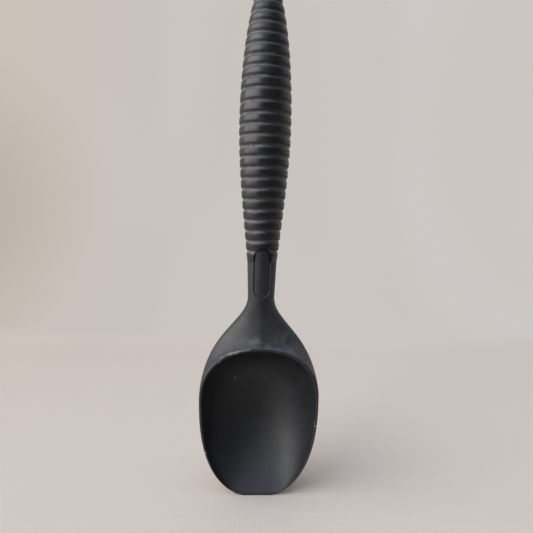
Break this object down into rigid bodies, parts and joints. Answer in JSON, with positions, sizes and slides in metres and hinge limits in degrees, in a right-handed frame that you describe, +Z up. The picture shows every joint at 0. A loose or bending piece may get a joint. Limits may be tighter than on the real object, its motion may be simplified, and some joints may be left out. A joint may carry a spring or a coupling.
{
  "type": "ice cream scoop",
  "caption": "Spade ice cream scoop with an oblong bowl, flat lip, round neck with a bare label recess and a soft ribbed spindle grip.",
  "frame": {"origin": "middle of the flat lip edge that the scoop stands on", "axes": "+Z up the handle, +X to the right seen from the open side of the bowl, +Y towards the bowl's back; the bowl opens towards -Y"},
  "size_m": [0.0516, 0.0274, 0.2174],
  "materials": {
    "head_plastic": "black satin moulded plastic",
    "grip_rubber": "black matte soft rubber, dusty in the grooves",
    "plug_plastic": "black satin moulded plastic"
  },
  "bodies": {
    "root": {"scoop_head": "head_plastic", "grip_sleeve": "grip_rubber", "end_plug": "plug_plastic"}
  },
  "joints": []
}
